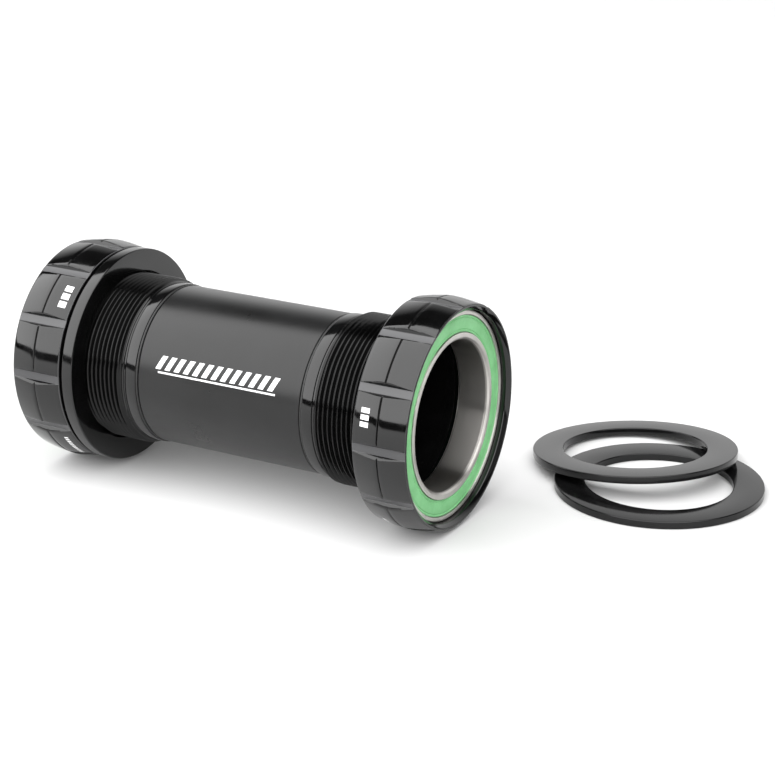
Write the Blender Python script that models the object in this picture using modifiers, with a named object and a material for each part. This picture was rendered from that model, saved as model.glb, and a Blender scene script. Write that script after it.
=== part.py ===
"""Threaded bottom bracket for a 30 mm spindle, lying on its side, with three spacer rings.

Two cups with outboard ball bearings slide on the spigots of a centre sleeve. The spindle axis runs
along X: the drive side is at -X and has a left-hand thread, the non-drive side is at +X. One spacer
is on the drive-side thread and two thinner ones lie loose on the floor. Everything is in metres.
The assembly is centred on the origin and stands on z = 0.
"""
import math

import bmesh
import bpy
from mathutils import Matrix, Vector

MM = 0.001

# Turned outlines are given in millimetres as (radius, height) points
SIDES = 36

# Cups: heights are measured outboard from the flange face that meets the frame
FLANGE_SPACING = 68.5 * MM
FLANGE_WIDTH = 11.6
FLANGE_CREST_R = 23.25
FLANGE_EDGE_R = 22.45
FLANGE_CHAMFER = 0.3
GROOVE_HALF_WIDTH = 0.3
GROOVE_DEPTH = 0.3
SEAT_BORE_R = 17.65
SEAT_RELIEF = 0.25
LIP_R = 21.8
LIP_RECESS = 1.7
LIP_BEVEL = 0.7
LIP_EDGE_BREAK = 0.15
NOTCH_COUNT = 12
NOTCH_FLOOR_R = 22.2
NOTCH_CUTTER_R = 1.9
NOTCH_CUTTER_SIDES = 14
NOTCH_CUT_OVERRUN = 1.0
NOTCH_TURN = {"drive": math.radians(1.2), "non_drive": math.radians(0.8)}
THREAD_LENGTH = 12.3
NOSE_LENGTH = 2.4
NOSE_CHAMFER = 0.3
TUBE_R = 16.6
TUBE_BORE_R = 15.5
NOSE_BORE_R = 15.95
NOSE_BORE_DEPTH = 8.0
MOUTH_BEVEL = 0.55
POCKET_GAP = 0.1
SHOULDER_BORE_R = 19.6
SHOULDER_HEIGHT = 0.65

# Thread: 1.37 inch by 24 threads per inch
THREAD_CREST_R = 17.4
THREAD_PITCH = 25.4 / 24
THREAD_TURNS = 10
THREAD_STEPS = 18
THREAD_BASE_R = 16.45
THREAD_BASE_HALF = 0.5
THREAD_CREST_HALF = 0.13
THREAD_RUN_OUT = 0.7

# Bearings: 30 x 42 x 7 mm
BEARING_BORE_R = 15.0
BEARING_OUTER_R = 21.0
BEARING_WIDTH = 7.0
BORE_CHAMFER = 0.6
OUTER_CHAMFER = 0.3
INNER_FACE_R = 16.5
OUTER_FACE_R = 20.0
INNER_LAND_R = 16.9
OUTER_LAND_R = 19.1
LAND_HALF = 2.5
BALL_COUNT = 18
BALL_R = 1.75
BALL_CIRCLE_R = 18.0
BALL_SEGMENTS = 8
BALL_RINGS = 4
RACEWAY_CLEARANCE = 0.12
RACEWAY_HALF_FLOOR = 0.875
RACEWAY_HALF_MOUTH = 1.55
CAGE_INNER_R = 17.4
CAGE_OUTER_R = 18.6
CAGE_HALF = 2.3
CAGE_POCKET_R = 2.0
CAGE_POCKET_LENGTH = 4.0
CAGE_POCKET_SIDES = 8
SEAL_INNER_R = 16.65
SEAL_OUTER_R = 19.9
SEAL_THICKNESS = 0.7
SEAL_RECESS = 0.2

# Centre sleeve and the O-rings at its shoulders
SLEEVE_R = 16.35
SLEEVE_BORE_R = 15.25
SLEEVE_CHAMFER = 0.25
SPIGOT_R = 15.8
SPIGOT_LENGTH = 8.0
SHOULDER_GAP = 0.6
O_RING_R = 16.18
O_RING_SECTION_R = 0.27
O_RING_STANDOFF = 0.2
O_RING_CORNERS = 5

# Spacers
SHELL_SPACER_R = 22.4
SHELL_SPACER_BORE_R = 17.65
SHELL_SPACER_THICKNESS = 2.5
SHELL_SPACER_GAP = 0.7
LOOSE_SPACER_R = 21.6
LOOSE_SPACER_BORE_R = 15.2
LOOSE_SPACER_THICKNESS = 1.6
SPACER_CHAMFER = 0.2
LOWER_SPACER_FROM_BEARING = (27.9 * MM, 38.8 * MM)
UPPER_SPACER_FROM_BEARING = (18.3 * MM, 48.8 * MM)
UPPER_SPACER_TILT = math.radians(5.5)
UPPER_SPACER_LOW_SIDE = math.radians(135.0)

# Edges steeper than this are shaded as corners
TURNED_CORNER = math.radians(35.0)
BALL_CORNER = math.radians(80.0)
MERGE_DISTANCE = 0.00001


def clear_scene():
    for old in list(bpy.data.objects):
        bpy.data.objects.remove(old, do_unlink=True)


def new_collection(name):
    collection = bpy.data.collections.new(name)
    bpy.context.scene.collection.children.link(collection)
    return collection


def principled(name, colour, metallic, roughness):
    material = bpy.data.materials.new(name)
    material.use_nodes = True
    shader = material.node_tree.nodes["Principled BSDF"]
    shader.inputs["Base Color"].default_value = (*colour, 1.0)
    shader.inputs["Metallic"].default_value = metallic
    shader.inputs["Roughness"].default_value = roughness
    material.diffuse_color = (*colour, 1.0)
    return material


def add_object(name, mesh, collection, parent=None, material=None):
    obj = bpy.data.objects.new(name, mesh)
    collection.objects.link(obj)
    obj.parent = parent
    if material is not None and not mesh.materials:
        mesh.materials.append(material)
    return obj


def add_empty(name, parent, location=(0.0, 0.0, 0.0), turn_y=0.0):
    empty = bpy.data.objects.new(name, None)
    empty.empty_display_size = 0.01
    empty.location = location
    empty.rotation_euler = (0.0, turn_y, 0.0)
    empty.parent = parent
    PARTS.objects.link(empty)
    return empty


def shade_round(mesh, corner=TURNED_CORNER):
    mesh.shade_smooth()
    mesh.set_sharp_from_angle(angle=corner)


def outline_mesh(name, outline):
    """Closed loop of edges in the XZ plane, from (radius, height) points in millimetres."""
    mesh = bpy.data.meshes.new(name)
    points = [(radius * MM, 0.0, height * MM) for radius, height in outline]
    edges = [(i, (i + 1) % len(points)) for i in range(len(points))]
    mesh.from_pydata(points, edges, [])
    return mesh


def baked(obj):
    """Replace an object's mesh by its evaluated mesh, without its modifiers."""
    mesh = bpy.data.meshes.new_from_object(obj.evaluated_get(bpy.context.evaluated_depsgraph_get()))
    obj.modifiers.clear()
    obj.data = mesh
    return mesh


def turned(name, outline, material, parent, half_step=False):
    """Ring or tube turned round the parent's Z axis, from an outline that runs down its outer side.

    half_step turns its facets so that one of them, and not an edge, is straight below the axis.
    """
    obj = add_object(name, outline_mesh(name, outline), PARTS, parent, material)
    screw = obj.modifiers.new("Turn", "SCREW")
    screw.axis = "Z"
    screw.angle = math.tau
    screw.steps = SIDES
    screw.render_steps = SIDES
    screw.use_merge_vertices = True
    screw.merge_threshold = MERGE_DISTANCE
    mesh = baked(obj)
    if half_step:
        mesh.transform(Matrix.Rotation(math.pi / SIDES, 4, "Z"))
    shade_round(mesh)
    return obj


def joined_rods(name, count, sides, radius, length, centre, lean=0.0, turn=0.0):
    """Rods spaced round the Z axis, as one mesh; the first one's middle is at centre before the turn.

    A rod is parallel to the Z axis, or radial if lean is a quarter turn.
    """
    bm = bmesh.new()
    for index in range(count):
        place = Matrix.Rotation(turn + index * math.tau / count, 4, "Z")
        place @= Matrix.Translation(centre)
        place @= Matrix.Rotation(lean, 4, "Y")
        bmesh.ops.create_cone(
            bm, cap_ends=True, segments=sides, radius1=radius, radius2=radius, depth=length, matrix=place
        )
    mesh = bpy.data.meshes.new(name)
    bm.to_mesh(mesh)
    bm.free()
    return mesh


def add_cutter(name, mesh, parent):
    cutter = add_object(name, mesh, CUTTERS, parent)
    cutter.hide_render = True
    cutter.display_type = "WIRE"
    return cutter


def boolean(obj, tool, operation):
    modifier = obj.modifiers.new(operation.title(), "BOOLEAN")
    modifier.operation = operation
    modifier.solver = "EXACT"
    modifier.object = tool


def thread_ridge(name, parent, hand):
    """Helical ridge with flat ends; hand is 1 for a right-hand thread and -1 for a left-hand one."""
    outline = [
        (THREAD_CREST_R, THREAD_CREST_HALF),
        (THREAD_CREST_R, -THREAD_CREST_HALF),
        (THREAD_BASE_R, -THREAD_BASE_HALF),
        (THREAD_BASE_R, THREAD_BASE_HALF),
    ]
    ridge = add_cutter(name, outline_mesh(name, outline), parent)
    screw = ridge.modifiers.new("Helix", "SCREW")
    screw.axis = "Z"
    screw.angle = math.tau
    screw.screw_offset = THREAD_PITCH * MM
    screw.iterations = THREAD_TURNS
    screw.steps = THREAD_STEPS
    screw.render_steps = THREAD_STEPS
    mesh = baked(ridge)
    bm = bmesh.new()
    bm.from_mesh(mesh)
    if hand < 0:
        bmesh.ops.scale(bm, vec=Vector((1.0, -1.0, 1.0)), verts=bm.verts)
    bmesh.ops.translate(bm, vec=Vector((0.0, 0.0, (THREAD_RUN_OUT - THREAD_LENGTH) * MM)), verts=bm.verts)
    bmesh.ops.holes_fill(bm, edges=[edge for edge in bm.edges if edge.is_boundary], sides=0)
    bmesh.ops.recalc_face_normals(bm, faces=bm.faces)
    bm.to_mesh(mesh)
    bm.free()
    return ridge


def cup_outline():
    """Flange with a barrel-shaped rim, bearing pocket, tube and nose, from the lip down.

    The seat that meets the frame starts outside the thread's crest, with a shallow relief inside it.
    """
    crest = FLANGE_WIDTH / 2
    pocket_floor = FLANGE_WIDTH - LIP_RECESS - BEARING_WIDTH - POCKET_GAP
    nose_end = -THREAD_LENGTH - NOSE_LENGTH
    return [
        (FLANGE_EDGE_R - LIP_EDGE_BREAK, FLANGE_WIDTH),
        (FLANGE_EDGE_R, FLANGE_WIDTH - FLANGE_CHAMFER),
        (FLANGE_CREST_R, crest + GROOVE_HALF_WIDTH),
        (FLANGE_CREST_R - GROOVE_DEPTH, crest),
        (FLANGE_CREST_R, crest - GROOVE_HALF_WIDTH),
        (FLANGE_EDGE_R, FLANGE_CHAMFER),
        (FLANGE_EDGE_R - FLANGE_CHAMFER, 0.0),
        (SEAT_BORE_R, 0.0),
        (SEAT_BORE_R, SEAT_RELIEF),
        (TUBE_R, SEAT_RELIEF),
        (TUBE_R, nose_end + NOSE_CHAMFER),
        (NOSE_BORE_R + MOUTH_BEVEL, nose_end),
        (NOSE_BORE_R, nose_end + MOUTH_BEVEL),
        (NOSE_BORE_R, nose_end + NOSE_BORE_DEPTH),
        (TUBE_BORE_R, nose_end + NOSE_BORE_DEPTH),
        (TUBE_BORE_R, pocket_floor - SHOULDER_HEIGHT),
        (SHOULDER_BORE_R, pocket_floor - SHOULDER_HEIGHT),
        (SHOULDER_BORE_R, pocket_floor),
        (BEARING_OUTER_R + POCKET_GAP, pocket_floor),
        (BEARING_OUTER_R + POCKET_GAP, FLANGE_WIDTH - LIP_BEVEL),
        (LIP_R, FLANGE_WIDTH),
    ]


def make_cup(side, parent, hand):
    cup = turned(side + "_cup", cup_outline(), BLACK_ALUMINIUM, parent, half_step=True)
    ridge = thread_ridge(side + "_thread_ridge", parent, hand)
    notches = joined_rods(
        side + "_notches",
        NOTCH_COUNT,
        NOTCH_CUTTER_SIDES,
        NOTCH_CUTTER_R * MM,
        (FLANGE_WIDTH + 2 * NOTCH_CUT_OVERRUN) * MM,
        Vector((NOTCH_FLOOR_R + NOTCH_CUTTER_R, 0.0, FLANGE_WIDTH / 2)) * MM,
        turn=NOTCH_TURN[side],
    )
    boolean(cup, ridge, "UNION")
    boolean(cup, add_cutter(side + "_notches", notches, parent), "DIFFERENCE")


def outer_race_outline():
    half = BEARING_WIDTH / 2
    raceway_r = BALL_CIRCLE_R + BALL_R + RACEWAY_CLEARANCE
    return [
        (BEARING_OUTER_R - OUTER_CHAMFER, half),
        (BEARING_OUTER_R, half - OUTER_CHAMFER),
        (BEARING_OUTER_R, -half + OUTER_CHAMFER),
        (BEARING_OUTER_R - OUTER_CHAMFER, -half),
        (OUTER_FACE_R, -half),
        (OUTER_FACE_R, -LAND_HALF),
        (OUTER_LAND_R, -LAND_HALF),
        (OUTER_LAND_R, -RACEWAY_HALF_MOUTH),
        (raceway_r, -RACEWAY_HALF_FLOOR),
        (raceway_r, RACEWAY_HALF_FLOOR),
        (OUTER_LAND_R, RACEWAY_HALF_MOUTH),
        (OUTER_LAND_R, LAND_HALF),
        (OUTER_FACE_R, LAND_HALF),
        (OUTER_FACE_R, half),
    ]


def inner_race_outline():
    half = BEARING_WIDTH / 2
    raceway_r = BALL_CIRCLE_R - BALL_R - RACEWAY_CLEARANCE
    return [
        (INNER_FACE_R, half),
        (INNER_FACE_R, LAND_HALF),
        (INNER_LAND_R, LAND_HALF),
        (INNER_LAND_R, RACEWAY_HALF_MOUTH),
        (raceway_r, RACEWAY_HALF_FLOOR),
        (raceway_r, -RACEWAY_HALF_FLOOR),
        (INNER_LAND_R, -RACEWAY_HALF_MOUTH),
        (INNER_LAND_R, -LAND_HALF),
        (INNER_FACE_R, -LAND_HALF),
        (INNER_FACE_R, -half),
        (BEARING_BORE_R + BORE_CHAMFER, -half),
        (BEARING_BORE_R, -half + BORE_CHAMFER),
        (BEARING_BORE_R, half - BORE_CHAMFER),
        (BEARING_BORE_R + BORE_CHAMFER, half),
    ]


def ring_outline(outer_r, inner_r, low, high, chamfer=0.0):
    """Plain ring between two heights, with its outer edges chamfered if chamfer isn't zero."""
    if chamfer == 0.0:
        return [(outer_r, high), (outer_r, low), (inner_r, low), (inner_r, high)]
    return [
        (outer_r - chamfer, high),
        (outer_r, high - chamfer),
        (outer_r, low + chamfer),
        (outer_r - chamfer, low),
        (inner_r, low),
        (inner_r, high),
    ]


def ball_mesh(name):
    bm = bmesh.new()
    bmesh.ops.create_uvsphere(bm, u_segments=BALL_SEGMENTS, v_segments=BALL_RINGS, radius=BALL_R * MM)
    mesh = bpy.data.meshes.new(name)
    bm.to_mesh(mesh)
    bm.free()
    shade_round(mesh, BALL_CORNER)
    return mesh


def make_balls(side, parent):
    mesh = ball_mesh(side + "_ball")
    for index in range(BALL_COUNT):
        ball = add_object(f"{side}_ball_{index + 1:02d}", mesh, PARTS, parent, STEEL)
        angle = index * math.tau / BALL_COUNT
        ball.location = (BALL_CIRCLE_R * MM * math.cos(angle), BALL_CIRCLE_R * MM * math.sin(angle), 0.0)
        ball.rotation_euler = (0.0, 0.0, angle)


def make_cage(side, parent):
    outline = ring_outline(CAGE_OUTER_R, CAGE_INNER_R, -CAGE_HALF, CAGE_HALF)
    cage = turned(side + "_cage", outline, CAGE_PLASTIC, parent)
    pockets = joined_rods(
        side + "_pockets",
        BALL_COUNT,
        CAGE_POCKET_SIDES,
        CAGE_POCKET_R * MM,
        CAGE_POCKET_LENGTH * MM,
        Vector((BALL_CIRCLE_R, 0.0, 0.0)) * MM,
        lean=math.pi / 2,
    )
    boolean(cage, add_cutter(side + "_pockets", pockets, parent), "DIFFERENCE")


def make_bearing(side, cup_axis):
    height = FLANGE_WIDTH - LIP_RECESS - BEARING_WIDTH / 2
    centre = add_empty(side + "_bearing_centre", cup_axis, (0.0, 0.0, height * MM))
    turned(side + "_outer_race", outer_race_outline(), STEEL, centre)
    turned(side + "_inner_race", inner_race_outline(), STEEL, centre)
    seal_out = BEARING_WIDTH / 2 - SEAL_RECESS
    seal_in = seal_out - SEAL_THICKNESS
    outer_seal = ring_outline(SEAL_OUTER_R, SEAL_INNER_R, seal_in, seal_out)
    inner_seal = ring_outline(SEAL_OUTER_R, SEAL_INNER_R, -seal_out, -seal_in)
    turned(side + "_outer_seal", outer_seal, GREEN_SEAL, centre)
    turned(side + "_inner_seal", inner_seal, GREEN_SEAL, centre)
    make_cage(side, centre)
    make_balls(side, centre)


def make_o_ring(side, cup_axis):
    height = -THREAD_LENGTH - NOSE_LENGTH - O_RING_STANDOFF
    outline = []
    for corner in range(O_RING_CORNERS):
        angle = math.pi / 2 - corner * math.tau / O_RING_CORNERS
        outline.append(
            (O_RING_R + O_RING_SECTION_R * math.cos(angle), height + O_RING_SECTION_R * math.sin(angle))
        )
    turned(side + "_o_ring", outline, BLACK_RUBBER, cup_axis)


def make_side(side, direction, hand):
    """Cup, bearing and O-ring of one side; direction is 1 for +X and -1 for -X."""
    flange_face = (direction * FLANGE_SPACING / 2, 0.0, 0.0)
    cup_axis = add_empty(side + "_cup_axis", SPINDLE_AXIS, flange_face, direction * math.pi / 2)
    make_cup(side, cup_axis, hand)
    make_bearing(side, cup_axis)
    make_o_ring(side, cup_axis)
    return cup_axis


def make_sleeve():
    shoulder = FLANGE_SPACING / MM / 2 - THREAD_LENGTH - NOSE_LENGTH - SHOULDER_GAP
    end = shoulder + SPIGOT_LENGTH
    outline = [
        (SPIGOT_R, end),
        (SPIGOT_R, shoulder),
        (SLEEVE_R - SLEEVE_CHAMFER, shoulder),
        (SLEEVE_R, shoulder - SLEEVE_CHAMFER),
        (SLEEVE_R, -shoulder + SLEEVE_CHAMFER),
        (SLEEVE_R - SLEEVE_CHAMFER, -shoulder),
        (SPIGOT_R, -shoulder),
        (SPIGOT_R, -end),
        (SLEEVE_BORE_R, -end),
        (SLEEVE_BORE_R, end),
    ]
    axis = add_empty("sleeve_axis", SPINDLE_AXIS, turn_y=math.pi / 2)
    turned("centre_sleeve", outline, SATIN_SLEEVE, axis)


def make_shell_spacer(cup_axis):
    top = -SHELL_SPACER_GAP
    outline = ring_outline(
        SHELL_SPACER_R, SHELL_SPACER_BORE_R, top - SHELL_SPACER_THICKNESS, top, SPACER_CHAMFER
    )
    turned("shell_spacer", outline, BLACK_ALUMINIUM, cup_axis)


def make_loose_spacers():
    """Two equal rings: one flat on the floor, one leaning on it with its low side on the floor."""
    bearing_face = FLANGE_SPACING / 2 + (FLANGE_WIDTH - LIP_RECESS) * MM
    floor = -FLANGE_CREST_R * MM * math.cos(math.pi / SIDES)
    outline = ring_outline(
        LOOSE_SPACER_R, LOOSE_SPACER_BORE_R, 0.0, LOOSE_SPACER_THICKNESS, SPACER_CHAMFER
    )
    lower = add_empty("lower_spacer_place", SPINDLE_AXIS)
    lower.location = (bearing_face + LOWER_SPACER_FROM_BEARING[0], LOWER_SPACER_FROM_BEARING[1], floor)
    upper = add_empty("upper_spacer_place", SPINDLE_AXIS)
    lift = LOOSE_SPACER_R * MM * math.sin(UPPER_SPACER_TILT)
    upper.location = (
        bearing_face + UPPER_SPACER_FROM_BEARING[0],
        UPPER_SPACER_FROM_BEARING[1],
        floor + lift,
    )
    upper.rotation_mode = "AXIS_ANGLE"
    tilt_axis = (-math.sin(UPPER_SPACER_LOW_SIDE), math.cos(UPPER_SPACER_LOW_SIDE), 0.0)
    upper.rotation_axis_angle = (UPPER_SPACER_TILT, *tilt_axis)
    turned("lower_loose_spacer", outline, BLACK_PLASTIC, lower)
    turned("upper_loose_spacer", outline, BLACK_PLASTIC, upper)


def centre_over_origin():
    """Move the whole assembly so that its box is centred in X and Y and stands on z = 0."""
    bpy.context.view_layer.update()
    graph = bpy.context.evaluated_depsgraph_get()
    corners = []
    for obj in PARTS.objects:
        if obj.type == "MESH":
            evaluated = obj.evaluated_get(graph)
            corners += [evaluated.matrix_world @ vertex.co for vertex in evaluated.data.vertices]
    low = [min(corner[axis] for corner in corners) for axis in range(3)]
    high = [max(corner[axis] for corner in corners) for axis in range(3)]
    SPINDLE_AXIS.location = (-(low[0] + high[0]) / 2, -(low[1] + high[1]) / 2, -low[2])
    bpy.context.view_layer.update()


clear_scene()
PARTS = new_collection("bottom_bracket")
CUTTERS = new_collection("cutters")
BLACK_ALUMINIUM = principled("black_aluminium", (0.015, 0.015, 0.017), 0.6, 0.35)
SATIN_SLEEVE = principled("satin_sleeve", (0.03, 0.03, 0.032), 0.4, 0.45)
STEEL = principled("bearing_steel", (0.75, 0.73, 0.7), 1.0, 0.25)
GREEN_SEAL = principled("green_seal", (0.2, 0.6, 0.25), 0.0, 0.5)
BLACK_RUBBER = principled("black_rubber", (0.01, 0.01, 0.01), 0.0, 0.7)
CAGE_PLASTIC = principled("cage_plastic", (0.6, 0.55, 0.45), 0.0, 0.5)
BLACK_PLASTIC = principled("black_plastic", (0.02, 0.02, 0.02), 0.0, 0.45)
SPINDLE_AXIS = add_empty("spindle_axis", None)
drive_axis = make_side("drive", -1, -1)
non_drive_axis = make_side("non_drive", 1, 1)
make_sleeve()
make_shell_spacer(drive_axis)
make_loose_spacers()
centre_over_origin()
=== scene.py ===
"""Looks of a threaded bottom bracket lying on a pale floor, with two loose spacers beside it."""
import math

import bmesh
import bpy
import numpy as np
from mathutils import Matrix, Vector


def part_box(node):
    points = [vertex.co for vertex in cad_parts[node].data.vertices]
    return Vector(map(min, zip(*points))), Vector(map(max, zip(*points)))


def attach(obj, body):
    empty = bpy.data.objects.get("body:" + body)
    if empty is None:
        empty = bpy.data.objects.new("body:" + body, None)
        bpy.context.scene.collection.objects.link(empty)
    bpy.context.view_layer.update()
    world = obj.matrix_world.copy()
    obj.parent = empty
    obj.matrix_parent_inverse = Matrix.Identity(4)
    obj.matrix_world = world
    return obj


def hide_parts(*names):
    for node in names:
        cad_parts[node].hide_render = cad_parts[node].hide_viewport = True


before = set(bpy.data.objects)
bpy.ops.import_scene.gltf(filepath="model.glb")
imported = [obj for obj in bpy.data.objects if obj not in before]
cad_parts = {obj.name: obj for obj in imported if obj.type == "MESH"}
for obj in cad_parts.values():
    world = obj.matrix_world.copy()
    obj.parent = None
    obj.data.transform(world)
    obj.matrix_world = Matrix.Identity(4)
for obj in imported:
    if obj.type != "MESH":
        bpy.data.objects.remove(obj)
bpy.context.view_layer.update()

MM = 0.001
SIDE_SIGNS = {"drive": -1, "non_drive": 1}
THREAD_HANDS = {"drive": -1, "non_drive": 1}  # 1 is a right-hand thread

# Camera, from the middle of the near bearing's outer face, in metres and degrees
CAMERA_OFFSET = (0.1734, -0.3354, 0.1414)
CAMERA_TURN = (70.25, -0.17, 29.34)
CAMERA_LENS = 96.6

# From here to the colours, sizes are in millimetres, and heights are along a piece's own axis.
# The flange of a cup starts at height 0, where it meets the frame, and has a rounded rim
FLANGE_WIDTH = 11.6
CREST_R = 23.18
EDGE_R = 22.42
BARREL_POWER = 1.5
EDGE_BAND = 0.3
GROOVE_HALF = 0.24
GROOVE_DEPTH = 0.42
SEAT_R = 17.65
SEAT_RELIEF = 0.25

# Notches in the flange: flat floor, leaning walls, bevelled lip
NOTCH_COUNT = 12
NOTCH_FLOOR_R = 22.25
NOTCH_FLOOR_HALF = 0.78
NOTCH_LEAST_DEPTH = 0.02
NOTCH_WALL_LEAN = 0.7
NOTCH_FLOOR_UPTURN = 0.015
NOTCH_LIP_BEVEL = 0.05
NOTCH_TURN = {"drive": math.radians(0.8), "non_drive": math.radians(1.4)}
RIM_INNER_R = 21.5

# Bearing pocket, behind the lip
LIP_RECESS = 1.7
POCKET_R = 21.08
POCKET_FLOOR = 2.8
POCKET_STEP_R = 19.6
POCKET_STEP = 0.65

# Threaded tube and its plain nose, which holds the sleeve's spigot
THREAD_LENGTH = 12.3
THREAD_ROOT_R = 16.66
THREAD_CREST_R = 17.4
THREAD_PITCH = 25.4 / 24
THREAD_FLAT = 0.05
THREAD_ROWS_PER_TURN = 16
THREAD_TOP = -0.2
THREAD_RUN_OUT = 0.7
THREAD_START = -0.45
THREAD_START_FADE = 0.6
THREAD_END_GAP = 0.35
THREAD_END_FADE = 0.9
THREAD_SMOOTH_TOP = -0.4
THREAD_SMOOTH_MARGIN = 0.1
# Top of the thread faces that take the painted shade
THREAD_PAINTED_SHADE_TOP = -0.3
NOSE_LENGTH = 2.4
NOSE_R = 16.6
NECK_R = 16.3
TUBE_BORE_R = 15.5
SPIGOT_BORE_R = 15.95
SPIGOT_LENGTH = 8.0

# Bearing
BEARING_WIDTH = 7.0
BALL_R = 1.75
BALL_COUNT = 18
BEARING_COLUMNS = 160

# Centre sleeve, between the two noses
SHOULDER_GAP = 0.6
SLEEVE_R = 16.35
SLEEVE_EDGE_R = 16.2
SPIGOT_R = 15.8
SLEEVE_BORE_R = 15.25
SLEEVE_BEVEL = 0.15
ROUND_COLUMNS = 192

# Sleeve O-ring, in the mouth of a nose
O_RING_R = 16.18
O_RING_CORD_R = 0.27
O_RING_DROP = 0.2
O_RING_SIDES = 12
O_RING_COLUMNS = 120

# Spacer on the thread, and the two loose ones
SHELL_SPACER_R = 22.4
SHELL_SPACER_WIDTH = 2.5
SHELL_SPACER_TOP = -0.7
SHELL_SPACER_CHAMFER = 0.18
LOOSE_R = 21.6
LOOSE_HOLE_R = 15.2
LOOSE_HALF = 0.8
LOOSE_CHAMFER = 0.14
LOOSE_TILT = math.radians(5.5)
LOOSE_TILT_AXIS = Vector((-math.sqrt(0.5), -math.sqrt(0.5), 0.0))

# Rounding of a corner that gives none of its own, and the angle from which an edge stays sharp
CORNER_ROUNDING = 0.08
SHARP_ANGLE = math.radians(38)

# Groups of printed bars on each cup's rim. Where the first bar starts, a bar and the gap after it are
# in degrees, and the height of the bars' middle and their width are in millimetres
PRINT_INNER_R = 21.8
RIM_PRINTS = {
    "drive": (
        {"first": -51.0, "bar": 3.4, "gap": 1.2, "count": 3, "height": 2.1, "width": 1.7},
        {"first": -146.0, "bar": 1.2, "gap": 0.6, "count": 11, "height": 2.2, "width": 0.9},
    ),
    "non_drive": (
        {"first": -109.0, "bar": 2.4, "gap": 1.0, "count": 3, "height": 2.8, "width": 1.9},
        {"first": -40.0, "bar": 1.2, "gap": 0.6, "count": 4, "height": 2.8, "width": 0.9},
    ),
}

# Print on the sleeve: slanting bars, and a thin line beside them. SLANT_BAR is a bar's share of the pitch
SLEEVE_PRINT_ANGLE = math.radians(-110.5)
SLEEVE_PRINT_INNER_R = 16.3
SLANT = 0.5
SLANT_SHIFT = 1.0
SLANT_PITCH = 2.2
SLANT_BAR = 0.55
SLANT_MIDDLE = 0.605
SLANT_HALF = 13.82
BAR_HALF = 1.4
LINE_ACROSS = 2.0
LINE_HALF_WIDTH = 0.18
LINE_MIDDLE = -0.4
LINE_HALF = 13.8

# Bands of radius that take painted light, as middle and half width: a painted highlight on the notch
# floors, painted shade in a race's bore
NOTCH_FLOOR_BAND = (22.2, 0.14)
NOTCH_EDGE_CLEARANCE = 0.12
RACE_BORE_BAND = (14.6, 0.6)

# Colours, and what the bands and the print change
# Painted shade in a race's bore: how much darker its steel is painted
BORE_PAINTED_SHADE = 0.42
MILLED_ROUGHER = 0.25
PRINT_ROUGHER = 0.3
WHITE_PRINT = (0.7, 0.7, 0.7, 1.0)
# Lighter grey of the notch floors: a painted highlight in place of the lit floor they reflect
NOTCH_FLOOR_HIGHLIGHT_GREY = (0.045, 0.045, 0.047, 1.0)
FLOOR_GREY = (0.57, 0.57, 0.57)

# Stage and light, in metres
FLOOR_HALF = 15.0
SOFT_BOX_ELEVATION = math.radians(56.0)
SOFT_BOX_DISTANCE = 1.2
SOFT_BOX_SHIFT = -0.8
SOFT_BOX_WIDTH = 5.0
SOFT_BOX_HEIGHT = 2.76
SOFT_BOX_RADIANCE = 3.6
SOFT_BOX_AIM = Vector((0.0, 0.0, 0.02))

# Brightness of the room by angle in degrees, from the front horizon up over the top to the back one
SKY = [
    (0, 0.02),
    (6, 0.02),
    (8, 0.3),
    (100, 0.3),
    (106, 0.02),
    (130, 0.02),
    (137, 0.4),
    (148, 0.95),
    (160, 1.3),
    (180, 1.0),
]


def middle(node):
    """Middle of a CAD node's box."""
    low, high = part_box(node)
    return (low + high) / 2


# Where the CAD model stands: the spindle axis, and each flange face that meets the frame
axis_point = middle("non_drive_outer_race")
flange_x = {
    "non_drive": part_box("non_drive_cup")[1].x - FLANGE_WIDTH * MM,
    "drive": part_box("drive_cup")[0].x + FLANGE_WIDTH * MM,
}
centre_x = (flange_x["drive"] + flange_x["non_drive"]) / 2


def axis_matrix(x, sign):
    """Local +Z along the spindle axis, towards +X if sign is 1 and towards -X if it is -1."""
    turn = Matrix.Rotation(sign * math.pi / 2, 4, "Y")
    return Matrix.Translation((x, axis_point.y, axis_point.z)) @ turn


# ---------------------------------------------------------------- camera


def make_camera():
    """Camera placed from the near bearing's outer face, aimed as the photograph was taken."""
    face = Vector((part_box("non_drive_outer_race")[1].x, axis_point.y, axis_point.z))
    data = bpy.data.cameras.new("camera")
    data.sensor_width = 36.0
    data.lens = CAMERA_LENS
    data.clip_start = 0.01
    camera = bpy.data.objects.new("camera", data)
    camera.location = face + Vector(CAMERA_OFFSET)
    camera.rotation_euler = [math.radians(angle) for angle in CAMERA_TURN]
    bpy.context.scene.collection.objects.link(camera)
    bpy.context.scene.camera = camera


# ---------------------------------------------------------------- shapes


def rounded(outline, steps=3):
    """Closed outline with each corner replaced by a small curve.

    A point is (radius, height) or (radius, height, rounding).
    """
    points = [(p[0], p[1], p[2] if len(p) > 2 else CORNER_ROUNDING) for p in outline]
    result = []
    count = len(points)
    for index, (radius, height, rounding) in enumerate(points):
        here = np.array((radius, height))
        before = np.array(points[index - 1][:2]) - here
        after = np.array(points[(index + 1) % count][:2]) - here
        if rounding == 0.0:
            result.append((radius, height))
            continue
        start = here + before * min(rounding / np.linalg.norm(before), 0.45)
        end = here + after * min(rounding / np.linalg.norm(after), 0.45)
        for step in range(steps + 1):
            t = step / steps
            point = (1 - t) ** 2 * start + 2 * t * (1 - t) * here + t * t * end
            result.append((float(point[0]), float(point[1])))
    return result


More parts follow.
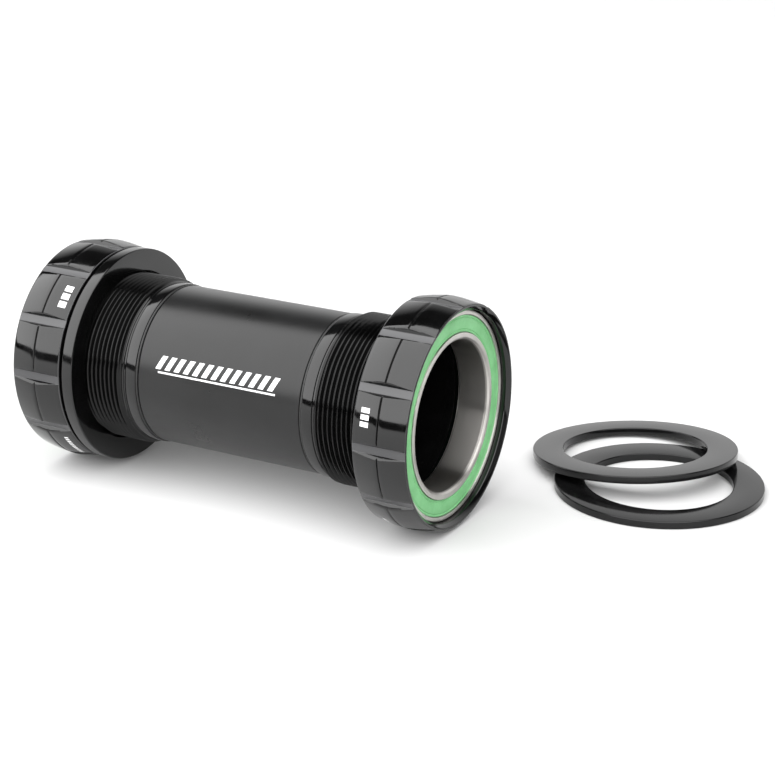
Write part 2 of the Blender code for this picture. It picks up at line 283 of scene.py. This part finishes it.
def revolved(name, outline, angles, shape=None):
    """Mesh turned round Z from a closed outline that runs down its outer side.

    shape(radii, heights, angle) may give other radii, and other angles, for the points of one column.
    """
    radii = np.array([p[0] for p in outline])
    heights = np.array([p[1] for p in outline])
    columns = []
    for angle in angles:
        here, turn = (radii, angle) if shape is None else shape(radii, heights, angle)
        columns.append(np.stack([here * np.cos(turn), here * np.sin(turn), heights], 1))
    coords = np.concatenate(columns) * MM
    rows = len(outline)
    i, j = np.meshgrid(np.arange(len(angles)), np.arange(rows), indexing="ij")
    i_next = (i + 1) % len(angles)
    j_next = (j + 1) % rows
    faces = np.stack([i * rows + j, i * rows + j_next, i_next * rows + j_next, i_next * rows + j], -1)
    mesh = bpy.data.meshes.new(name)
    mesh.from_pydata(coords.tolist(), [], faces.reshape(-1, 4).tolist())
    mesh.shade_smooth()
    mesh.set_sharp_from_angle(angle=SHARP_ANGLE)
    return mesh


def smooth_between(mesh, low, high, inner_r, outer_r):
    """Clear the sharp edges that lie between two heights and two radii, in millimetres."""
    flags = mesh.attributes["sharp_edge"]
    sharp = np.zeros(len(mesh.edges), bool)
    flags.data.foreach_get("value", sharp)
    coords = np.zeros(len(mesh.vertices) * 3)
    mesh.vertices.foreach_get("co", coords)
    coords = coords.reshape(-1, 3) / MM
    radii = np.hypot(coords[:, 0], coords[:, 1])
    inside = (coords[:, 2] > low) & (coords[:, 2] < high) & (radii > inner_r) & (radii < outer_r)
    ends = np.zeros(len(mesh.edges) * 2, int)
    mesh.edges.foreach_get("vertices", ends)
    sharp &= ~inside[ends.reshape(-1, 2)].all(1)
    flags.data.foreach_set("value", sharp)


def even_angles(count):
    """Angles that divide a turn equally."""
    return [index * math.tau / count for index in range(count)]


def place(name, mesh, matrix, body, slot, material, node):
    """Put a mesh in the scene with its body, its material and the CAD node it replaces. The slot argument
    is not used.
    """
    piece = bpy.data.objects.new(name, mesh)
    bpy.context.scene.collection.objects.link(piece)
    mesh.materials.clear()
    mesh.materials.append(material)
    piece.matrix_world = matrix
    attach(piece, body)
    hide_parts(node)


# ---------------------------------------------------------------- materials


class Graph:
    """Small helper that builds one material's node tree."""

    def __init__(self, name):
        self.material = bpy.data.materials.new(name)
        self.material.use_nodes = True
        self.tree = self.material.node_tree
        self.shader = self.tree.nodes["Principled BSDF"]
        self.coordinates = self.add("ShaderNodeTexCoord").outputs["Object"]

    def add(self, kind, inputs=None, **settings):
        node = self.tree.nodes.new(kind)
        for key, value in settings.items():
            setattr(node, key, value)
        for key, value in (inputs or {}).items():
            if isinstance(value, bpy.types.NodeSocket):
                self.tree.links.new(value, node.inputs[key])
            else:
                node.inputs[key].default_value = value
        return node

    def math(self, operation, first, second=0.0, third=0.0):
        inputs = {0: first, 1: second, 2: third}
        return self.add("ShaderNodeMath", inputs, operation=operation).outputs[0]

    def link(self, socket, name):
        self.tree.links.new(socket, self.shader.inputs[name])

    def noise(self, vector, scale, detail=2.0, roughness=0.5, w=None):
        inputs = {"Vector": vector, "Scale": scale, "Detail": detail, "Roughness": roughness}
        if w is None:
            return self.add("ShaderNodeTexNoise", inputs).outputs[0]
        inputs["W"] = w
        return self.add("ShaderNodeTexNoise", inputs, noise_dimensions="4D").outputs[0]

    def ranged(self, value, low, high):
        """A noise value's usual range, 0.3 to 0.7, stretched to low to high."""
        inputs = {"Value": value, 1: 0.3, 2: 0.7, 3: low, 4: high}
        return self.add("ShaderNodeMapRange", inputs).outputs[0]

    def blend(self, factor, first, second):
        node = self.add("ShaderNodeMix", data_type="RGBA")
        for socket, value in (("Factor_Float", factor), ("A_Color", first), ("B_Color", second)):
            target = next(s for s in node.inputs if s.identifier == socket)
            if isinstance(value, bpy.types.NodeSocket):
                self.tree.links.new(value, target)
            else:
                target.default_value = value
        return next(s for s in node.outputs if s.identifier == "Result_Color")

    def cylinder(self):
        """Radius and height in metres, and the angle's cosine and sine, round the object's Z axis."""
        parts = self.add("ShaderNodeSeparateXYZ", {0: self.coordinates}).outputs
        flat = self.add("ShaderNodeCombineXYZ", {0: parts[0], 1: parts[1]}).outputs[0]
        radius = self.add("ShaderNodeVectorMath", {0: flat}, operation="LENGTH").outputs["Value"]
        cosine = self.math("DIVIDE", parts[0], radius)
        sine = self.math("DIVIDE", parts[1], radius)
        return radius, parts[2], cosine, sine

    def turning_marks(self, scale, drift=0.8):
        """Noise that runs round the axis, as a lathe tool leaves it."""
        radius, height, cosine, sine = self.cylinder()
        vector = self.add(
            "ShaderNodeCombineXYZ",
            {
                0: self.math("MULTIPLY", radius, scale),
                1: self.math("MULTIPLY", height, scale),
                2: self.math("MULTIPLY", cosine, drift),
            },
        ).outputs[0]
        return self.noise(vector, 1.0, 3.0, 0.6, self.math("MULTIPLY", sine, drift))

    def bump(self, height, distance, strength):
        inputs = {"Height": height, "Distance": distance, "Strength": strength}
        self.link(self.add("ShaderNodeBump", inputs).outputs[0], "Normal")


def grey(value, tint=0.0):
    """Grey that tint makes slightly blue."""
    return (value, value, value * (1.0 + tint), 1.0)


def anodised_material(name, base, roughness, ior, marks_scale=9000.0, prints=()):
    """Black anodised aluminium with fine turning marks.

    With prints it is a cup's: it has white bars, and its notches' floors are rougher and painted a
    lighter grey as a painted highlight.
    """
    g = Graph(name)
    g.shader.inputs["IOR"].default_value = ior
    marks = g.turning_marks(marks_scale)
    smudge = g.noise(g.coordinates, 160.0, 3.0, 0.6)
    colour = g.blend(g.ranged(smudge, 0.0, 1.0), grey(base * 0.7), grey(base * 1.5, 0.05))
    uneven = g.ranged(smudge, roughness - 0.02, roughness + 0.03)
    rough = g.math("ADD", g.ranged(marks, -0.03, 0.03), uneven)
    if prints:
        radius, level, _, _ = g.cylinder()
        in_notch = g.math("COMPARE", radius, *(size * MM for size in NOTCH_FLOOR_BAND))
        half = FLANGE_WIDTH / 2
        on_rim = g.math("COMPARE", level, half * MM, (half - NOTCH_EDGE_CLEARANCE) * MM)
        # Notch floors: rougher, and painted lighter grey as a painted highlight
        highlit_rough_floor = g.math("MULTIPLY", in_notch, on_rim)
        colour = g.blend(highlit_rough_floor, colour, NOTCH_FLOOR_HIGHLIGHT_GREY)
        rough = g.math("ADD", rough, g.math("MULTIPLY", highlit_rough_floor, MILLED_ROUGHER))
        mask = g.math("MAXIMUM", *(bar_print(g, **group) for group in prints))
        colour = g.blend(mask, colour, WHITE_PRINT)
        rough = g.math("ADD", rough, g.math("MULTIPLY", mask, PRINT_ROUGHER))
    g.link(colour, "Base Color")
    g.link(rough, "Roughness")
    g.bump(marks, distance=0.000003, strength=0.5)
    return g.material


def bar_print(g, first, bar, gap, count, height, width):
    """Mask of one group of equal bars side by side round a cup's rim, as RIM_PRINTS describes it."""
    radius, level, cosine, sine = g.cylinder()
    angle = g.math("ARCTAN2", sine, cosine)
    from_first = g.math("SUBTRACT", angle, math.radians(first))
    pitch = math.radians(bar + gap)
    spread = g.math("COMPARE", from_first, pitch * count / 2, pitch * count / 2)
    step = g.math("FRACT", g.math("DIVIDE", from_first, pitch))
    bars = g.math("LESS_THAN", step, bar / (bar + gap))
    band = g.math("COMPARE", level, height * MM, width / 2 * MM)
    outside = g.math("GREATER_THAN", radius, PRINT_INNER_R * MM)
    return g.math("MULTIPLY", g.math("MULTIPLY", spread, bars), g.math("MULTIPLY", band, outside))


def sleeve_material():
    """Satin black anodised tube with a printed row of slanting white bars over a thin line."""
    g = Graph("satin_sleeve")
    g.shader.inputs["IOR"].default_value = 1.43
    blast = g.noise(g.coordinates, 5200.0, 3.0, 0.6)
    smudge = g.noise(g.coordinates, 90.0, 3.0, 0.6)
    base = g.blend(g.ranged(smudge, 0.0, 1.0), grey(0.003), grey(0.006, 0.04))
    radius, level, cosine, sine = g.cylinder()
    angle = g.math("ARCTAN2", sine, cosine)
    across = g.math("MULTIPLY", g.math("SUBTRACT", angle, SLEEVE_PRINT_ANGLE), SLEEVE_R * MM)
    slant = g.math("MULTIPLY_ADD", across, SLANT, g.math("ADD", level, SLANT_SHIFT * MM))
    bars = g.math("LESS_THAN", g.math("FRACT", g.math("DIVIDE", slant, SLANT_PITCH * MM)), SLANT_BAR)
    bars = g.math("MULTIPLY", bars, g.math("COMPARE", slant, SLANT_MIDDLE * MM, SLANT_HALF * MM))
    bars = g.math("MULTIPLY", bars, g.math("COMPARE", across, 0.0, BAR_HALF * MM))
    line = g.math("COMPARE", across, LINE_ACROSS * MM, LINE_HALF_WIDTH * MM)
    line = g.math("MULTIPLY", line, g.math("COMPARE", level, LINE_MIDDLE * MM, LINE_HALF * MM))
    outside = g.math("GREATER_THAN", radius, SLEEVE_PRINT_INNER_R * MM)
    mask = g.math("MULTIPLY", outside, g.math("MAXIMUM", bars, line))
    g.link(g.blend(mask, base, WHITE_PRINT), "Base Color")
    g.link(g.ranged(smudge, 0.27, 0.33), "Roughness")
    g.bump(blast, distance=0.000004, strength=0.5)
    return g.material


def steel_material(name, colour, roughness, marks_scale, brushed=0.0):
    """Bearing steel, brushed round its axis if brushed is over 0, with painted shade that darkens a
    race's bore.
    """
    g = Graph(name)
    g.shader.inputs["Metallic"].default_value = 1.0
    g.shader.inputs["Anisotropic"].default_value = brushed
    g.shader.inputs["Anisotropic Rotation"].default_value = 0.25
    marks = g.turning_marks(marks_scale)
    tone = g.noise(g.coordinates, 300.0, 3.0)
    darker = tuple(c * 0.86 for c in colour)
    base = g.blend(g.ranged(tone, 0.0, 1.0), (*darker, 1.0), (*colour, 1.0))
    radius, _, _, _ = g.cylinder()
    # Painted shade: a race's bore is painted darker
    painted_bore_shade = g.math("COMPARE", radius, *(size * MM for size in RACE_BORE_BAND))
    shaded = tuple(c * BORE_PAINTED_SHADE for c in colour)
    g.link(g.blend(painted_bore_shade, base, (*shaded, 1.0)), "Base Color")
    g.link(g.ranged(marks, roughness - 0.05, roughness + 0.06), "Roughness")
    g.bump(marks, distance=0.000002, strength=0.4)
    return g.material


def rubber_material(name, dark, light, roughness):
    """Moulded rubber or nylon with a fine grain."""
    g = Graph(name)
    grain = g.noise(g.coordinates, 2600.0, 4.0, 0.6)
    tone = g.noise(g.coordinates, 240.0, 3.0, 0.6)
    g.link(g.blend(g.ranged(tone, 0.0, 1.0), (*dark, 1.0), (*light, 1.0)), "Base Color")
    g.link(g.ranged(grain, roughness - 0.06, roughness + 0.08), "Roughness")
    g.bump(grain, distance=0.00001, strength=0.5)
    return g.material


def plain_material(name, colour, roughness):
    """Matt surface with a faint unevenness, for the floor."""
    g = Graph(name)
    tone = g.noise(g.coordinates, 3.0, 4.0, 0.6)
    darker = tuple(c * 0.97 for c in colour)
    g.link(g.blend(g.ranged(tone, 0.0, 1.0), (*darker, 1.0), (*colour, 1.0)), "Base Color")
    g.link(g.ranged(tone, roughness - 0.05, roughness + 0.05), "Roughness")
    return g.material


CUP_BLACK = {
    side: anodised_material(side + "_cup_black", base=0.002, roughness=0.08, ior=1.5, prints=prints)
    for side, prints in RIM_PRINTS.items()
}
SPACER_BLACK = anodised_material("spacer_black", base=0.002, roughness=0.1, ior=1.5)
LOOSE_BLACK = anodised_material(
    "loose_spacer_black", base=0.004, roughness=0.1, ior=1.36, marks_scale=2500.0
)
# Painted shade on the thread: a darker, less reflective copy of the cup's black
THREAD_PAINTED_SHADE_BLACK = anodised_material("thread_painted_shade_black", base=0.001, roughness=0.15, ior=1.36)
SLEEVE_BLACK = sleeve_material()
RACE_STEEL = steel_material(
    "race_steel", (0.62, 0.6, 0.57), roughness=0.34, marks_scale=14000.0, brushed=0.93
)
BALL_STEEL = steel_material("ball_steel", (0.75, 0.75, 0.74), roughness=0.12, marks_scale=900.0)
SEAL_GREEN = rubber_material("seal_green", (0.125, 0.38, 0.145), (0.18, 0.48, 0.205), 0.45)
RING_RUBBER = rubber_material("ring_rubber", (0.004, 0.004, 0.004), (0.01, 0.01, 0.01), 0.5)
CAGE_NYLON = rubber_material("cage_nylon", (0.5, 0.45, 0.34), (0.6, 0.54, 0.43), 0.45)


# ---------------------------------------------------------------- cups


def barrel(heights):
    """Radius of the flange's rim, highest at the groove and falling to both edges."""
    half = FLANGE_WIDTH / 2
    away = np.abs(np.asarray(heights) - half) / (half - EDGE_BAND)
    return CREST_R - (CREST_R - EDGE_R) * np.clip(away, 0.0, 1.0) ** BARREL_POWER


def cup_outline():
    """From the lip down the rim, the seat, the thread and the nose, and back up inside."""
    half = FLANGE_WIDTH / 2
    top = FLANGE_WIDTH
    points = [(21.86, top, 0.1), (EDGE_R - 0.16, top, 0.12)]
    for height in np.linspace(top - EDGE_BAND, half + GROOVE_HALF, 8):
        points.append((float(barrel(height)), float(height), 0.06))
    points.append((CREST_R - GROOVE_DEPTH, half, 0.1))
    for height in np.linspace(half - GROOVE_HALF, EDGE_BAND, 8):
        points.append((float(barrel(height)), float(height), 0.06))
    points += [
        (EDGE_R - 0.3, 0.0, 0.08),
        (SEAT_R, 0.0, 0.1),
        (SEAT_R, SEAT_RELIEF, 0.1),
        (16.5, SEAT_RELIEF, 0.2),
    ]
    rows = int((THREAD_LENGTH - THREAD_RUN_OUT) / THREAD_PITCH * THREAD_ROWS_PER_TURN)
    for row in range(rows):
        points.append((THREAD_ROOT_R, THREAD_TOP - row * THREAD_PITCH / THREAD_ROWS_PER_TURN, 0.0))
    end = -THREAD_LENGTH - NOSE_LENGTH
    points += [
        (NECK_R, -THREAD_LENGTH + 0.45, 0.1),
        (NECK_R, -THREAD_LENGTH + 0.05, 0.1),
        (NOSE_R, -THREAD_LENGTH - 0.1, 0.12),
        (NOSE_R, end + 0.15, 0.12),
        (16.45, end, 0.05),
        (SPIGOT_BORE_R, end + 0.5, 0.1),
        (SPIGOT_BORE_R, end + SPIGOT_LENGTH, 0.1),
        (TUBE_BORE_R, end + SPIGOT_LENGTH, 0.1),
        (TUBE_BORE_R, POCKET_FLOOR - POCKET_STEP, 0.1),
        (POCKET_STEP_R, POCKET_FLOOR - POCKET_STEP, 0.2),
        (POCKET_STEP_R, POCKET_FLOOR, 0.1),
        (POCKET_R, POCKET_FLOOR, 0.1),
        (POCKET_R, top - 0.72, 0.1),
    ]
    return rounded(points, steps=2)


def cup_columns():
    """Columns round the rim as (notch, side, place).

    Place 0 is the middle of the notch, 1 the foot of its wall, 2 its lip and 3 the middle of the land.
    """
    floor_and_wall = [0.0, 0.75, 0.9, 1.0, 1.12, 1.5, 1.9, 2.0]
    land = [2.04, 2.15, 2.35, 2.55, 2.8]
    places = floor_and_wall + land
    columns = []
    for notch in range(NOTCH_COUNT):
        columns += [(notch, -1, place) for place in reversed(places[1:])]
        columns += [(notch, 1, place) for place in places]
        columns.append((notch, 1, 3.0))
    return columns


def notch_lip(radii):
    """How far the lip of a notch is from its middle, sideways, on a round surface of each radius."""
    height = np.clip(radii - NOTCH_FLOOR_R, NOTCH_LEAST_DEPTH, None)
    return NOTCH_FLOOR_HALF + NOTCH_WALL_LEAN * height


def cup_shape(hand, turn):
    """Shape for revolved(): the notches in a cup's rim, and its helical thread.

    hand is 1 for a right-hand thread and -1 for a left-hand one; turn is where the first notch stands.
    """
    half_pitch = math.pi / NOTCH_COUNT

    def shape(radii, heights, column):
        notch, direction, place = column
        on_rim = (heights >= 0.0) & (radii > RIM_INNER_R)
        lip = np.where(on_rim, notch_lip(radii), notch_lip(CREST_R))
        cut = on_rim & (radii > NOTCH_FLOOR_R + NOTCH_LEAST_DEPTH)
        lip_level = np.sqrt(radii**2 - lip**2)
        floor_level = np.minimum(lip_level, NOTCH_FLOOR_R)
        if place <= 1.0:
            sideways = NOTCH_FLOOR_HALF * place + np.zeros(len(radii))
            level = floor_level + NOTCH_FLOOR_UPTURN * max(4.0 * place - 3.0, 0.0)
        elif place <= 2.0:
            share = place - 1.0
            sideways = NOTCH_FLOOR_HALF + (lip - NOTCH_FLOOR_HALF) * share
            upturn = NOTCH_FLOOR_UPTURN * (1.0 - share)
            level = floor_level + upturn + (lip_level - floor_level) * share
            if place == 2.0:
                level = np.maximum(level - NOTCH_LIP_BEVEL, floor_level)
        if place <= 2.0:
            away = np.arctan2(sideways, np.where(cut, level, np.sqrt(radii**2 - sideways**2)))
            result = np.where(cut, np.hypot(sideways, level), radii)
        else:
            edge = np.arcsin(lip / radii)
            away = edge + (half_pitch - edge) * (place - 2.0)
            result = radii
        angles = notch * 2 * half_pitch + turn + direction * away
        phase = (heights / THREAD_PITCH - hand * angles / math.tau) % 1.0
        rise = 1.0 - np.abs(2 * phase - 1.0)
        ridge = np.clip((rise - THREAD_FLAT) / (1.0 - 2 * THREAD_FLAT), 0.0, 1.0)
        from_end = heights + THREAD_LENGTH - THREAD_END_GAP
        fade = np.minimum((THREAD_START - heights) / THREAD_START_FADE, from_end / THREAD_END_FADE)
        depth = (THREAD_CREST_R - THREAD_ROOT_R) * np.clip(fade, 0.0, 1.0)
        on_thread = np.isclose(radii, THREAD_ROOT_R)
        return np.where(on_thread, radii + depth * ridge, result), angles

    return shape


def make_cup(side, sign):
    """One cup, with painted shade on its thread: the thread's faces take a darker black that reflects
    less.
    """
    shape = cup_shape(THREAD_HANDS[side], NOTCH_TURN[side])
    mesh = revolved(side + "_cup_finish", cup_outline(), cup_columns(), shape)
    low_r = THREAD_ROOT_R - THREAD_SMOOTH_MARGIN
    high_r = THREAD_CREST_R + THREAD_SMOOTH_MARGIN
    smooth_between(mesh, -THREAD_LENGTH, THREAD_SMOOTH_TOP, low_r, high_r)
    matrix = axis_matrix(flange_x[side], sign)
    place(mesh.name, mesh, matrix, side + "_cup_body", "black_anodised", CUP_BLACK[side], side + "_cup")
    # The thread's faces take the painted shade material
    mesh.materials.append(THREAD_PAINTED_SHADE_BLACK)
    for face in mesh.polygons:
        spot = face.center / MM
        if -THREAD_LENGTH < spot.z < THREAD_PAINTED_SHADE_TOP and math.hypot(spot.x, spot.y) > NOSE_R:
            face.material_index = 1


# ---------------------------------------------------------------- bearings


def outer_race_outline():
    """42 mm across, with the ball groove and the two seal grooves inside."""
    face = BEARING_WIDTH / 2
    return rounded(
        [
            (20.72, face, 0.1),
            (21.0, 3.22, 0.1),
            (21.0, -3.22, 0.1),
            (20.72, -face, 0.1),
            (20.0, -face, 0.06),
            (20.0, -2.5, 0.06),
            (19.1, -2.5, 0.06),
            (19.1, -1.55, 0.1),
            (19.87, -0.88, 0.5),
            (19.87, 0.88, 0.5),
            (19.1, 1.55, 0.1),
            (19.1, 2.5, 0.06),
            (20.0, 2.5, 0.06),
            (20.0, face, 0.06),
        ]
    )


def inner_race_outline():
    """Its bore is 30 mm across, with the ball groove and the two seal lands outside."""
    face = BEARING_WIDTH / 2
    return rounded(
        [
            (16.5, face, 0.08),
            (16.5, 2.5, 0.06),
            (16.9, 2.5, 0.06),
            (16.9, 1.55, 0.1),
            (16.13, 0.88, 0.5),
            (16.13, -0.88, 0.5),
            (16.9, -1.55, 0.1),
            (16.9, -2.5, 0.06),
            (16.5, -2.5, 0.06),
            (16.5, -face, 0.08),
            (15.55, -face, 0.12),
            (15.0, -2.95, 0.2),
            (15.0, 2.95, 0.2),
            (15.55, face, 0.12),
        ]
    )


def seal_outline(sign):
    """Moulded seal with its ribs on the side that faces out; sign is 1 if that side is up."""
    face = 3.3
    back = 2.6
    points = [
        (19.9, face - 0.05, 0.05),
        (19.9, back, 0.05),
        (16.65, back, 0.05),
        (16.62, face - 0.02, 0.08),
        (16.85, face, 0.06),
        (16.98, face - 0.16, 0.05),
        (17.1, face - 0.16, 0.05),
        (17.22, face - 0.04, 0.08),
        (18.3, face + 0.02, 0.5),
        (19.32, face - 0.04, 0.08),
        (19.42, face - 0.14, 0.05),
        (19.52, face - 0.14, 0.05),
        (19.62, face, 0.06),
    ]
    outline = rounded(points)
    if sign > 0:
        return outline
    return [(radius, -height) for radius, height in reversed(outline)]


def ball_mesh(name):
    """Mesh that all balls of one bearing share."""
    bm = bmesh.new()
    bmesh.ops.create_uvsphere(bm, u_segments=32, v_segments=16, radius=BALL_R * MM)
    mesh = bpy.data.meshes.new(name)
    bm.to_mesh(mesh)
    bm.free()
    mesh.shade_smooth()
    return mesh


def make_bearing(side, sign):
    """Races, seals and balls of one bearing; its cage keeps the CAD shape in a material of its own."""
    middle_height = (FLANGE_WIDTH - LIP_RECESS - BEARING_WIDTH / 2) * MM
    matrix = axis_matrix(flange_x[side] + sign * middle_height, sign)
    cup = side + "_cup_body"
    angles = even_angles(BEARING_COLUMNS)
    outer = revolved(side + "_outer_race_finish", outer_race_outline(), angles)
    place(outer.name, outer, matrix, cup, "race_steel", RACE_STEEL, side + "_outer_race")
    inner = revolved(side + "_inner_race_finish", inner_race_outline(), angles)
    core = side + "_bearing_core"
    place(inner.name, inner, matrix, core, "race_steel", RACE_STEEL, side + "_inner_race")
    for label, facing in (("outer", 1), ("inner", -1)):
        seal = revolved(f"{side}_{label}_seal_finish", seal_outline(facing), angles)
        place(seal.name, seal, matrix, cup, "green_seal", SEAL_GREEN, f"{side}_{label}_seal")
    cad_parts[side + "_cage"].data.materials.clear()
    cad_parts[side + "_cage"].data.materials.append(CAGE_NYLON)
    ball = ball_mesh(side + "_ball_finish")
    for index in range(BALL_COUNT):
        node = f"{side}_ball_{index + 1:02d}"
        at = Matrix.Translation(middle(node))
        place(node + "_finish", ball, at, side + "_ball_train", "ball_steel", BALL_STEEL, node)


# ---------------------------------------------------------------- sleeve and spacers


def make_sleeve():
    """Tube between the two noses, with a spigot at each end."""
    cup_inboard = THREAD_LENGTH + NOSE_LENGTH
    shoulder = (flange_x["non_drive"] - centre_x) / MM - cup_inboard - SHOULDER_GAP
    end = shoulder + SPIGOT_LENGTH
    points = [
        (SPIGOT_R, end, 0.1),
        (SPIGOT_R, shoulder, 0.05),
        (SLEEVE_EDGE_R, shoulder, 0.06),
        (SLEEVE_R, shoulder - SLEEVE_BEVEL, 0.08),
        (SLEEVE_R, -shoulder + SLEEVE_BEVEL, 0.08),
        (SLEEVE_EDGE_R, -shoulder, 0.06),
        (SPIGOT_R, -shoulder, 0.05),
        (SPIGOT_R, -end, 0.1),
        (SLEEVE_BORE_R, -end, 0.1),
        (SLEEVE_BORE_R, end, 0.1),
    ]
    mesh = revolved("centre_sleeve_finish", rounded(points), even_angles(ROUND_COLUMNS))
    matrix = axis_matrix(centre_x, 1)
    place(mesh.name, mesh, matrix, "sleeve", "satin_sleeve", SLEEVE_BLACK, "centre_sleeve")


def make_o_ring(side, sign):
    """O-ring round a spigot, in the mouth of the nose."""
    height = -THREAD_LENGTH - NOSE_LENGTH - O_RING_DROP
    outline = []
    for angle in even_angles(O_RING_SIDES):
        radius = O_RING_R + O_RING_CORD_R * math.cos(angle)
        outline.append((radius, height - O_RING_CORD_R * math.sin(angle)))
    mesh = revolved(side + "_o_ring_finish", outline, even_angles(O_RING_COLUMNS))
    matrix = axis_matrix(flange_x[side], sign)
    place(mesh.name, mesh, matrix, side + "_seal_ring", "black_rubber", RING_RUBBER, side + "_o_ring")


def flat_ring(outer_r, inner_r, low, high, chamfer):
    """Outline of a flat ring with chamfered edges."""
    return rounded(
        [
            (outer_r - chamfer, high),
            (outer_r, high - chamfer),
            (outer_r, low + chamfer),
            (outer_r - chamfer, low),
            (inner_r + chamfer, low),
            (inner_r, low + chamfer),
            (inner_r, high - chamfer),
            (inner_r + chamfer, high),
        ]
    )


def make_spacers():
    """The spacer on the drive-side thread, and the two loose ones; the upper one leans."""
    top = SHELL_SPACER_TOP
    outline = flat_ring(SHELL_SPACER_R, SEAT_R, top - SHELL_SPACER_WIDTH, top, SHELL_SPACER_CHAMFER)
    mesh = revolved("shell_spacer_finish", outline, even_angles(ROUND_COLUMNS))
    matrix = axis_matrix(flange_x["drive"], -1)
    place(mesh.name, mesh, matrix, "shell_spacer_body", "black_anodised", SPACER_BLACK, "shell_spacer")
    tilts = {"lower": Matrix.Identity(4), "upper": Matrix.Rotation(LOOSE_TILT, 4, LOOSE_TILT_AXIS)}
    outline = flat_ring(LOOSE_R, LOOSE_HOLE_R, -LOOSE_HALF, LOOSE_HALF, LOOSE_CHAMFER)
    for label, tilt in tilts.items():
        node = label + "_loose_spacer"
        mesh = revolved(node + "_finish", outline, even_angles(ROUND_COLUMNS))
        mesh.transform(tilt)
        at = Matrix.Translation(middle(node))
        place(mesh.name, mesh, at, label + "_spacer_body", "spacer_plastic", LOOSE_BLACK, node)


# ---------------------------------------------------------------- stage and light


def make_stage():
    """Pale floor under everything."""
    bm = bmesh.new()
    bmesh.ops.create_grid(bm, x_segments=8, y_segments=8, size=FLOOR_HALF)
    mesh = bpy.data.meshes.new("floor")
    bm.to_mesh(mesh)
    bm.free()
    floor = bpy.data.objects.new("floor", mesh)
    bpy.context.scene.collection.objects.link(floor)
    mesh.materials.append(plain_material("floor_paper", FLOOR_GREY, 0.7))


def make_soft_box():
    """Soft box in front of the bracket and above it, aimed at it."""
    data = bpy.data.lights.new("soft_box", "AREA")
    data.shape = "RECTANGLE"
    data.size = SOFT_BOX_WIDTH
    data.size_y = SOFT_BOX_HEIGHT
    data.energy = SOFT_BOX_RADIANCE * math.pi * SOFT_BOX_WIDTH * SOFT_BOX_HEIGHT
    light = bpy.data.objects.new("soft_box", data)
    direction = Vector((0.0, -math.cos(SOFT_BOX_ELEVATION), math.sin(SOFT_BOX_ELEVATION)))
    light.location = SOFT_BOX_AIM + direction * SOFT_BOX_DISTANCE + Vector((SOFT_BOX_SHIFT, 0.0, 0.0))
    light.rotation_euler = direction.to_track_quat("Z", "Y").to_euler()
    light.visible_camera = False
    bpy.context.scene.collection.objects.link(light)


def make_world():
    """Room whose brightness follows SKY, by the angle up from the front horizon."""
    world = bpy.data.worlds.new("world")
    bpy.context.scene.world = world
    world.use_nodes = True
    nodes = world.node_tree.nodes
    links = world.node_tree.links
    background = nodes["Background"]
    parts = nodes.new("ShaderNodeSeparateXYZ")
    links.new(nodes.new("ShaderNodeTexCoord").outputs["Generated"], parts.inputs[0])
    front = nodes.new("ShaderNodeMath")
    front.operation = "MULTIPLY"
    front.inputs[1].default_value = -1.0
    links.new(parts.outputs[1], front.inputs[0])
    rise = nodes.new("ShaderNodeMath")
    rise.operation = "ARCTAN2"
    links.new(parts.outputs[2], rise.inputs[0])
    links.new(front.outputs[0], rise.inputs[1])
    share = nodes.new("ShaderNodeMath")
    share.operation = "DIVIDE"
    share.inputs[1].default_value = math.pi
    links.new(rise.outputs[0], share.inputs[0])
    ramp = nodes.new("ShaderNodeValToRGB")
    links.new(share.outputs[0], ramp.inputs[0])
    stops = ramp.color_ramp.elements
    stops[0].position = 0.0
    stops[0].color = grey(SKY[0][1])
    stops[1].position = 1.0
    stops[1].color = grey(SKY[-1][1])
    for angle, radiance in SKY[1:-1]:
        stops.new(angle / 180.0).color = grey(radiance)
    links.new(ramp.outputs[0], background.inputs[0])
    background.inputs[1].default_value = 1.0


make_world()
make_soft_box()
make_stage()
make_camera()
for side_name, side_sign in SIDE_SIGNS.items():
    make_cup(side_name, side_sign)
    make_bearing(side_name, side_sign)
    make_o_ring(side_name, side_sign)
make_sleeve()
make_spacers()
bpy.context.scene.view_settings.view_transform = "Standard"
